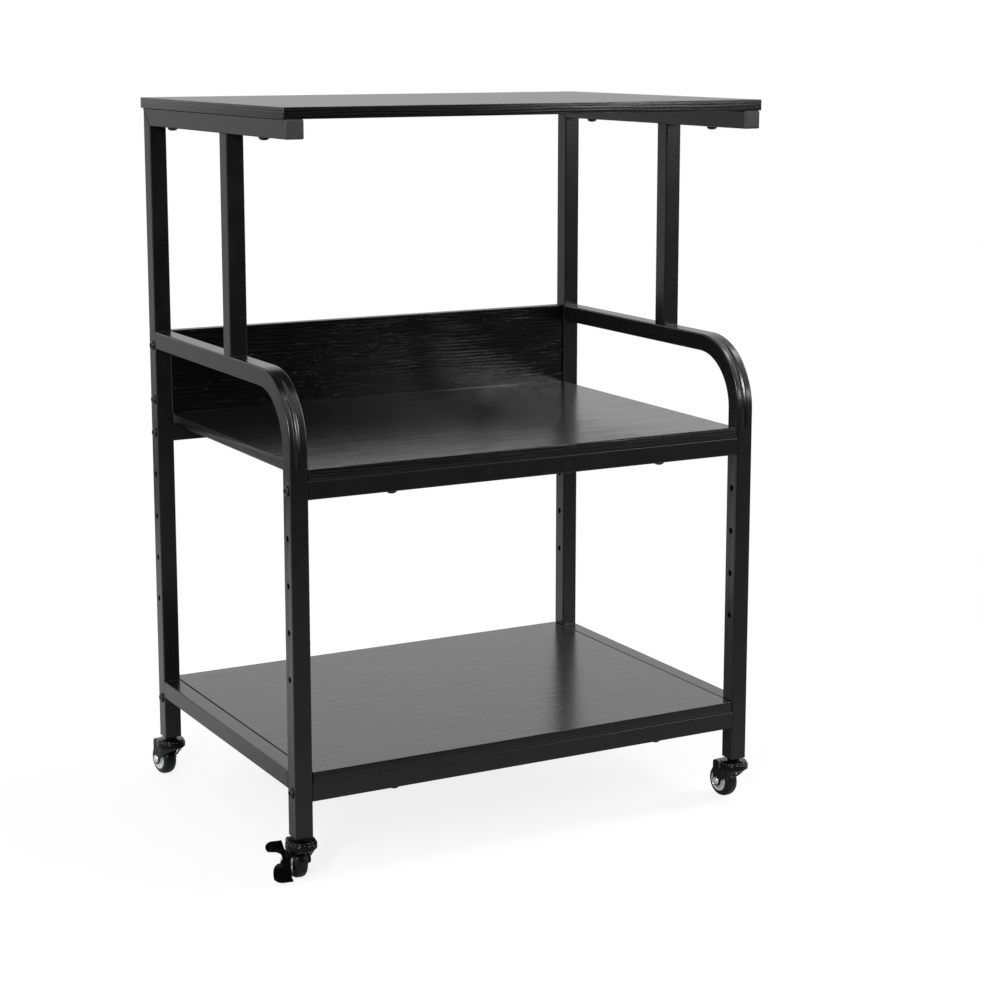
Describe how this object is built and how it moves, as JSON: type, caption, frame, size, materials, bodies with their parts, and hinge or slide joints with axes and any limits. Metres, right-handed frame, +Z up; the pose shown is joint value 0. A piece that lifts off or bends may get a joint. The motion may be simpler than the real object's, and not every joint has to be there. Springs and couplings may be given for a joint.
{
  "type": "printer cart",
  "caption": "Square-tube steel cart with a top, a height-adjustable middle and a bottom wood-grain shelf, a back panel and swivel castors, some with brakes.",
  "frame": {"origin": "on the floor, below the middle of the whole cart; the frame stands 10 mm forward of it, because the back castor on the left trails out behind the frame", "axes": "+Z up, -Y to the open front where the bows bend down, +X to the right seen from the front"},
  "size_m": [0.6113, 0.444, 0.812],
  "materials": {
    "powder_coated_steel": "fine-textured satin black powder coat on square steel tube",
    "wood_grain_board": "black wood-grain melamine on particle board, low sheen",
    "edge_band": "black plastic edge band with a fine lengthwise grain",
    "black_plastic": "moulded black plastic",
    "black_bolts": "black-coated steel with a dull shine",
    "castor_steel": "pressed steel with glossy black paint",
    "zinc_steel": "bright zinc-plated steel",
    "castor_tyre": "smooth black rubber with a soft gloss"
  },
  "bodies": {
    "frame": {"left_back_post": "powder_coated_steel", "left_top_rail": "powder_coated_steel", "left_short_post": "powder_coated_steel", "left_bow": "powder_coated_steel", "left_bottom_rail": "powder_coated_steel", "right_back_post": "powder_coated_steel", "right_top_rail": "powder_coated_steel", "right_short_post": "powder_coated_steel", "right_bow": "powder_coated_steel", "right_bottom_rail": "powder_coated_steel", "middle_front_rail": "powder_coated_steel", "middle_back_rail": "powder_coated_steel", "bottom_front_rail": "powder_coated_steel", "bottom_back_rail": "powder_coated_steel", "top_board": "wood_grain_board", "middle_board": "wood_grain_board", "bottom_board": "wood_grain_board", "back_panel": "wood_grain_board", "top_board_edging": "edge_band", "middle_board_edging": "edge_band", "bottom_board_edging": "edge_band", "back_panel_edging": "edge_band", "rail_end_caps": "black_plastic", "rail_end_inserts": "black_plastic", "post_foot_inserts": "black_plastic", "board_insert_nuts": "zinc_steel", "rail_bolts": "black_bolts", "board_bolts": "black_bolts", "panel_screws": "black_bolts", "front_left_stem": "zinc_steel", "front_left_top_plate": "castor_steel", "front_left_balls": "zinc_steel", "front_right_stem": "zinc_steel", "front_right_top_plate": "castor_steel", "front_right_balls": "zinc_steel", "back_left_stem": "zinc_steel", "back_left_top_plate": "castor_steel", "back_left_balls": "zinc_steel", "back_right_stem": "zinc_steel", "back_right_top_plate": "castor_steel", "back_right_balls": "zinc_steel"},
    "front_left_swivel": {"front_left_fork": "castor_steel", "front_left_axle": "zinc_steel"},
    "front_left_wheel": {"front_left_rim": "zinc_steel", "front_left_tyre": "castor_tyre"},
    "front_left_brake": {"front_left_brake_lever": "castor_steel"},
    "front_right_swivel": {"front_right_fork": "castor_steel", "front_right_axle": "zinc_steel"},
    "front_right_wheel": {"front_right_rim": "zinc_steel", "front_right_tyre": "castor_tyre"},
    "back_left_swivel": {"back_left_fork": "castor_steel", "back_left_axle": "zinc_steel"},
    "back_left_wheel": {"back_left_rim": "zinc_steel", "back_left_tyre": "castor_tyre"},
    "back_right_swivel": {"back_right_fork": "castor_steel", "back_right_axle": "zinc_steel"},
    "back_right_wheel": {"back_right_rim": "zinc_steel", "back_right_tyre": "castor_tyre"},
    "back_right_brake": {"back_right_brake_lever": "castor_steel"}
  },
  "joints": [
    {"name": "front_left_swivel", "type": "hinge", "parent": "frame", "child": "front_left_swivel", "pos_m": [-0.275, -0.205, 0.0416], "axis": [0, 0, 1], "continuous": true},
    {"name": "front_left_wheel_spin", "type": "hinge", "parent": "front_left_swivel", "child": "front_left_wheel", "pos_m": [-0.27218, -0.18722, 0.019], "axis": [-0.9877, 0.1564, 0], "continuous": true},
    {"name": "front_left_brake_press", "type": "hinge", "parent": "front_left_swivel", "child": "front_left_brake", "pos_m": [-0.27218, -0.18722, 0.019], "axis": [-0.9877, 0.1564, 0], "range_deg": [0, 25]},
    {"name": "front_right_swivel", "type": "hinge", "parent": "frame", "child": "front_right_swivel", "pos_m": [0.275, -0.205, 0.0416], "axis": [0, 0, 1], "continuous": true},
    {"name": "front_right_wheel_spin", "type": "hinge", "parent": "front_right_swivel", "child": "front_right_wheel", "pos_m": [0.27374, -0.18704, 0.019], "axis": [-0.9976, -0.0698, 0], "continuous": true},
    {"name": "back_left_swivel", "type": "hinge", "parent": "frame", "child": "back_left_swivel", "pos_m": [-0.275, 0.185, 0.0416], "axis": [0, 0, 1], "continuous": true},
    {"name": "back_left_wheel_spin", "type": "hinge", "parent": "back_left_swivel", "child": "back_left_wheel", "pos_m": [-0.27751, 0.20283, 0.019], "axis": [-0.9903, -0.1392, 0], "continuous": true},
    {"name": "back_right_swivel", "type": "hinge", "parent": "frame", "child": "back_right_swivel", "pos_m": [0.275, 0.185, 0.0416], "axis": [0, 0, 1], "continuous": true},
    {"name": "back_right_wheel_spin", "type": "hinge", "parent": "back_right_swivel", "child": "back_right_wheel", "pos_m": [0.27004, 0.1677, 0.019], "axis": [0.9613, -0.2756, 0], "continuous": true},
    {"name": "back_right_brake_press", "type": "hinge", "parent": "back_right_swivel", "child": "back_right_brake", "pos_m": [0.27004, 0.1677, 0.019], "axis": [0.9613, -0.2756, 0], "range_deg": [0, 25]}
  ]
}
